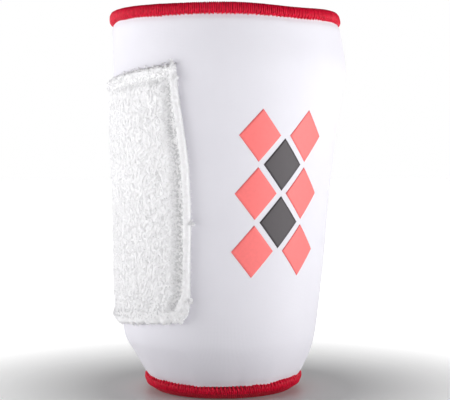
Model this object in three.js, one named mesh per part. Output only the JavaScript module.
// A cricketer's forearm guard: a padded tubular sleeve that narrows to the wrist, bound with red
// overlocked thread at both rims, with a towelling patch sewn to its outer side for wiping the brow.
// Millimetres, +Z up. The guard stands on its wrist rim. Its front, where the print goes, faces -Y,
// and the towelling wraps round the -X side. Angles are turned from the front towards +X.
import * as THREE from 'three';

// Driving dimensions of the tube.
const GUARD_LENGTH = 181;
const MOUTH_WIDTH = 112;
const MOUTH_DEPTH = 107.5;
const WALL = 5;

// Thread edging over the two rims: the foam under it is pressed in by RIM_PINCH on each face.
const TOP_BINDING_HEIGHT = 5.5;
const BOTTOM_BINDING_HEIGHT = 7.5;
const THREAD_DEPTH = 1.3;
const TOP_ROUNDING = 1.4;
const BOTTOM_ROUNDING = 3.8;
const INNER_ROUNDING = 1.2;
const RIM_PINCH = 1;
const RIM_CHAMFER = 1.2;
const SHOULDER = 1.6;
const CLEARANCE = 0.3;

// Towelling patch, measured along the sleeve's skin. Its side edges bow out by TOWEL_BOW halfway up,
// and its top and bottom edges rise by TOWEL_RISE from the back corner to the front one.
const TOWEL_WIDTH = 78.6;
const TOWEL_HEIGHT = 114;
const TOWEL_FOOT = 35.8;
const TOWEL_THICKNESS = 2.5;
const TOWEL_BOW = 2;
const TOWEL_RISE = 7;
const TOWEL_ANGLE = THREE.MathUtils.degToRad(-93);
const HEM_WIDTH = 3;
const HEM_THICKNESS = 2.1;
const GROOVE_WIDTH = 4;
const GROOVE_THICKNESS = 1.2;
const ROLLED_HEM_WIDTH = 6;
const ROLLED_HEM_THICKNESS = 2.8;

// The mouth's rim isn't level: it sags by up to RIM_SAG, and that fades out over RIM_SAG_FADE below.
const RIM_SAG = 1.8;
const RIM_SAG_FADE = 40;

// Small puckers where the wrist end is gathered into its edging.
const PUCKER_COUNT = 8;
const PUCKER_DEPTH = 0.3;
const PUCKER_REACH = 26;

const STEPS_AROUND = 48;
const SKIN_ROWS = 13;
const SKIN_ROW_CROWDING = 1.3;
const TOWEL_COLUMNS = 10;
const TOWEL_ROWS = 10;

const COLOURS = { laminate: 0xf1f0f3, thread: 0xc8102e, towelling: 0xf6f6f4 };

// The sleeve's outer skin, a row for each section from the wrist rim up. height is a share of
// GUARD_LENGTH, width of MOUTH_WIDTH (and the same share of MOUTH_DEPTH), and shift, which leans
// the section towards +X, a share of MOUTH_WIDTH.
const SECTIONS = [
  { height: 0.00, width: 0.595, shift: -0.008 },
  { height: 0.02, width: 0.650, shift: -0.008 },
  { height: 0.05, width: 0.686, shift: -0.009 },
  { height: 0.10, width: 0.768, shift: -0.014 },
  { height: 0.15, width: 0.834, shift: -0.026 },
  { height: 0.30, width: 0.883, shift: -0.018 },
  { height: 0.50, width: 0.918, shift: -0.005 },
  { height: 0.70, width: 0.970, shift: 0.008 },
  { height: 0.78, width: 0.996, shift: 0.017 },
  { height: 0.86, width: 1.018, shift: 0.024 },
  { height: 0.93, width: 1.004, shift: 0.013 },
  { height: 1.00, width: 0.990, shift: -0.002 },
];

// Where the mouth's rim sags: the angle of the lowest point and how far it spreads each way, in
// degrees, and its depth as a share of RIM_SAG.
const SAGS = [
  { angle: -50, spread: 35, depth: 0.65 },
  { angle: 5, spread: 25, depth: 1.00 },
  { angle: 160, spread: 65, depth: 0.55 },
];

const sectionAt = new THREE.CubicInterpolant(
  SECTIONS.map((row) => row.height),
  SECTIONS.flatMap((row) => [row.width, row.shift]),
  2,
);

// Half-width, half-depth and lean of the skin's oval at a height.
function ovalAt(z) {
  const share = THREE.MathUtils.clamp(z / GUARD_LENGTH, 0, 1);
  const [width, shift] = sectionAt.evaluate(share);
  return {
    halfWidth: (width * MOUTH_WIDTH) / 2,
    halfDepth: (width * MOUTH_DEPTH) / 2,
    lean: shift * MOUTH_WIDTH,
  };
}

// How far the mouth's rim sags at an angle.
function rimSag(angle) {
  const depths = SAGS.map((row) => {
    const turn = THREE.MathUtils.euclideanModulo(THREE.MathUtils.radToDeg(angle) - row.angle + 180, 360) - 180;
    return row.depth * Math.exp(-((turn / row.spread) ** 2));
  });
  return RIM_SAG * depths.reduce((total, depth) => total + depth);
}

// A point of the tube's wall: on the oval at this height, then out by offset, level and square to it.
function wallPoint(angle, z, offset) {
  const { halfWidth, halfDepth, lean } = ovalAt(z);
  const outward = new THREE.Vector2(Math.sin(angle) * halfDepth, -Math.cos(angle) * halfWidth).normalize();
  const pucker = PUCKER_DEPTH * Math.max(0, 1 - z / PUCKER_REACH) * Math.cos(PUCKER_COUNT * angle);
  const sagShare = Math.max(0, 1 - (GUARD_LENGTH - z) / RIM_SAG_FADE) ** 2;
  return new THREE.Vector3(
    lean + halfWidth * Math.sin(angle) + outward.x * (offset + pucker),
    -halfDepth * Math.cos(angle) + outward.y * (offset + pucker),
    z - sagShare * rimSag(angle),
  );
}

function meshGeometry(points, triangles) {
  const geometry = new THREE.BufferGeometry().setFromPoints(points);
  geometry.setIndex(triangles);
  geometry.computeVertexNormals();
  return geometry;
}

// Two triangles for each cell of a grid of points. Both directions may close on themselves.
function gridTriangles(columns, rows, closedColumns, closedRows) {
  const triangles = [];
  const at = (column, row) => (column % columns) * rows + (row % rows);
  for (let column = 0; column < (closedColumns ? columns : columns - 1); column += 1) {
    for (let row = 0; row < (closedRows ? rows : rows - 1); row += 1) {
      triangles.push(at(column, row), at(column + 1, row), at(column + 1, row + 1));
      triangles.push(at(column, row), at(column + 1, row + 1), at(column, row + 1));
    }
  }
  return triangles;
}

// Carries a closed loop of [offset, height] round the tube. The loop goes up the outer face first.
function ringGeometry(loop) {
  const points = [];
  for (let step = 0; step < STEPS_AROUND; step += 1) {
    const angle = (step / STEPS_AROUND) * 2 * Math.PI;
    points.push(...loop.map(([offset, z]) => wallPoint(angle, z, offset)));
  }
  return meshGeometry(points, gridTriangles(STEPS_AROUND, loop.length, true, true));
}

// Evenly spread values from first to last, closer together near first when power is over 1.
function spread(first, last, count, power = 1) {
  return Array.from({ length: count }, (_, i) => first + (last - first) * (i / (count - 1)) ** power);
}

// Padded tube: foam between two knit faces, pressed thinner where the edging grips its rims.
function sleeveGeometry() {
  const bottomRim = THREAD_DEPTH + CLEARANCE;
  const topRim = GUARD_LENGTH - THREAD_DEPTH - CLEARANCE;
  const bottomGrip = BOTTOM_BINDING_HEIGHT + CLEARANCE;
  const topGrip = GUARD_LENGTH - TOP_BINDING_HEIGHT - CLEARANCE;
  const heights = spread(bottomGrip + SHOULDER, topGrip - SHOULDER, SKIN_ROWS, SKIN_ROW_CROWDING);
  const outer = [
    [-RIM_PINCH - RIM_CHAMFER, bottomRim],
    [-RIM_PINCH, bottomRim + RIM_CHAMFER],
    [-RIM_PINCH, bottomGrip],
    ...heights.map((z) => [0, z]),
    [-RIM_PINCH, topGrip],
    [-RIM_PINCH, topRim - RIM_CHAMFER],
    [-RIM_PINCH - RIM_CHAMFER, topRim],
  ];
  const inner = outer.map(([offset, z]) => [-WALL - offset, z]).reverse();
  return ringGeometry([...outer, ...inner]);
}

// A quarter round of the edging's section, from its flat end up to its face, as [offset, height].
function roundedCorner(face, rounding) {
  return [0, 30, 60, 90].map(THREE.MathUtils.degToRad).map((turn) => [
    face - rounding * (1 - Math.sin(turn)),
    rounding * (1 - Math.cos(turn)),
  ]);
}

// Edging of overlocked thread: a channel that wraps the rim, with a flat end and rounded corners.
// It is drawn as a rim that faces down, and mirrored in height for the top.
function bindingGeometry(height, rounding, facesUp) {
  const face = THREAD_DEPTH + CLEARANCE - RIM_PINCH;
  const seat = CLEARANCE - RIM_PINCH;
  const lip = THREAD_DEPTH * 0.4;
  const outside = [...roundedCorner(face, rounding), [face, height - lip], [face - lip, height]];
  const inside = [...roundedCorner(face, INNER_ROUNDING), [face, height - lip], [face - lip, height]];
  const channel = [
    [seat, height],
    [seat, THREAD_DEPTH + RIM_CHAMFER],
    [seat - RIM_CHAMFER, THREAD_DEPTH],
  ];
  const inward = ([offset, z]) => [-WALL - offset, z];
  const loop = [...outside, ...channel, ...channel.map(inward).reverse(), ...inside.map(inward).reverse()];
  if (!facesUp) return ringGeometry(loop);
  return ringGeometry(loop.map(([offset, z]) => [offset, GUARD_LENGTH - z]).reverse());
}

// Places along one direction of the towelling: its two edges' hems and grooves, and the field between.
function towelStations(length, startEdge, endEdge, fieldCount) {
  const start = startEdge.map(([inset]) => inset);
  const end = endEdge.map(([inset]) => length - inset).reverse();
  const field = spread(start.at(-1), end[0], fieldCount + 1).slice(1, -1);
  return [...start, ...field, ...end];
}

// Thickness of the towelling at an inset from an edge, from that edge's [inset, thickness] rows.
function edgeThickness(edge, inset) {
  const next = edge.findIndex(([reach]) => reach > inset);
  if (next === 0) return edge[0][1];
  if (next < 0) return TOWEL_THICKNESS;
  const [[near, thin], [far, thick]] = [edge[next - 1], edge[next]];
  return THREE.MathUtils.mapLinear(inset, near, far, thin, thick);
}

// Towelling patch: a pile field inside a hem, with a sewn-down groove between them on the sides and
// along the top, and a rolled hem along the bottom.
function towellingGeometry() {
  const sewnEdge = [
    [0, HEM_THICKNESS * 0.4],
    [HEM_WIDTH * 0.25, HEM_THICKNESS],
    [HEM_WIDTH * 0.8, HEM_THICKNESS],
    [HEM_WIDTH + GROOVE_WIDTH * 0.15, GROOVE_THICKNESS],
    [HEM_WIDTH + GROOVE_WIDTH * 0.6, GROOVE_THICKNESS],
    [HEM_WIDTH + GROOVE_WIDTH * 1.3, TOWEL_THICKNESS],
  ];
  const rolledEdge = [
    [0, ROLLED_HEM_THICKNESS * 0.4],
    [ROLLED_HEM_WIDTH * 0.2, ROLLED_HEM_THICKNESS * 0.9],
    [ROLLED_HEM_WIDTH * 0.6, ROLLED_HEM_THICKNESS],
    [ROLLED_HEM_WIDTH * 1.1, TOWEL_THICKNESS * 0.8],
    [ROLLED_HEM_WIDTH * 1.6, TOWEL_THICKNESS],
  ];
  const across = towelStations(TOWEL_WIDTH, sewnEdge, sewnEdge, TOWEL_COLUMNS);
  const up = towelStations(TOWEL_HEIGHT, rolledEdge, sewnEdge, TOWEL_ROWS);
  const outer = [];
  const inner = [];
  for (const x of across) {
    for (const y of up) {
      const side = (2 * x) / TOWEL_WIDTH - 1;
      const bow = side * TOWEL_BOW * (1 - ((2 * y) / TOWEL_HEIGHT - 1) ** 2);
      const z = TOWEL_FOOT + y + (side * TOWEL_RISE) / 2;
      const { halfWidth, halfDepth } = ovalAt(z);
      const angle = TOWEL_ANGLE + (x - TOWEL_WIDTH / 2 + bow) / ((halfWidth + halfDepth) / 2);
      const thickness = Math.min(
        edgeThickness(sewnEdge, x),
        edgeThickness(sewnEdge, TOWEL_WIDTH - x),
        edgeThickness(sewnEdge, TOWEL_HEIGHT - y),
        edgeThickness(rolledEdge, y),
      );
      outer.push(wallPoint(angle, z, CLEARANCE + thickness));
      inner.push(wallPoint(angle, z, CLEARANCE));
    }
  }
  const columns = across.length;
  const rows = up.length;
  const size = columns * rows;
  const face = gridTriangles(columns, rows, false, false);
  const back = face.map((corner) => corner + size).reverse();
  const rim = [
    ...spread(0, columns - 1, columns).map((column) => column * rows),
    ...spread(1, rows - 1, rows - 1).map((row) => (columns - 1) * rows + row),
    ...spread(columns - 2, 0, columns - 1).map((column) => column * rows + rows - 1),
    ...spread(rows - 2, 1, rows - 2),
  ];
  const edge = rim.flatMap((corner, i) => {
    const next = rim[(i + 1) % rim.length];
    return [corner, corner + size, next + size, corner, next + size, next];
  });
  return meshGeometry([...outer, ...inner], [...face, ...back, ...edge]);
}

function piece(name, geometry, color, roughness) {
  const mesh = new THREE.Mesh(geometry, new THREE.MeshStandardMaterial({ color, roughness, metalness: 0 }));
  mesh.name = name;
  return mesh;
}

const guard = new THREE.Group();
guard.add(
  piece('sleeve', sleeveGeometry(), COLOURS.laminate, 0.75),
  piece('top_binding', bindingGeometry(TOP_BINDING_HEIGHT, TOP_ROUNDING, true), COLOURS.thread, 0.6),
  piece('bottom_binding', bindingGeometry(BOTTOM_BINDING_HEIGHT, BOTTOM_ROUNDING, false), COLOURS.thread, 0.6),
  piece('towelling_patch', towellingGeometry(), COLOURS.towelling, 0.95),
);

// The origin is on the surface that the guard stands on, under the middle of its outer box.
const box = new THREE.Box3().setFromObject(guard);
const middle = box.getCenter(new THREE.Vector3());
guard.position.set(-middle.x, -middle.y, -box.min.z);

export default guard;
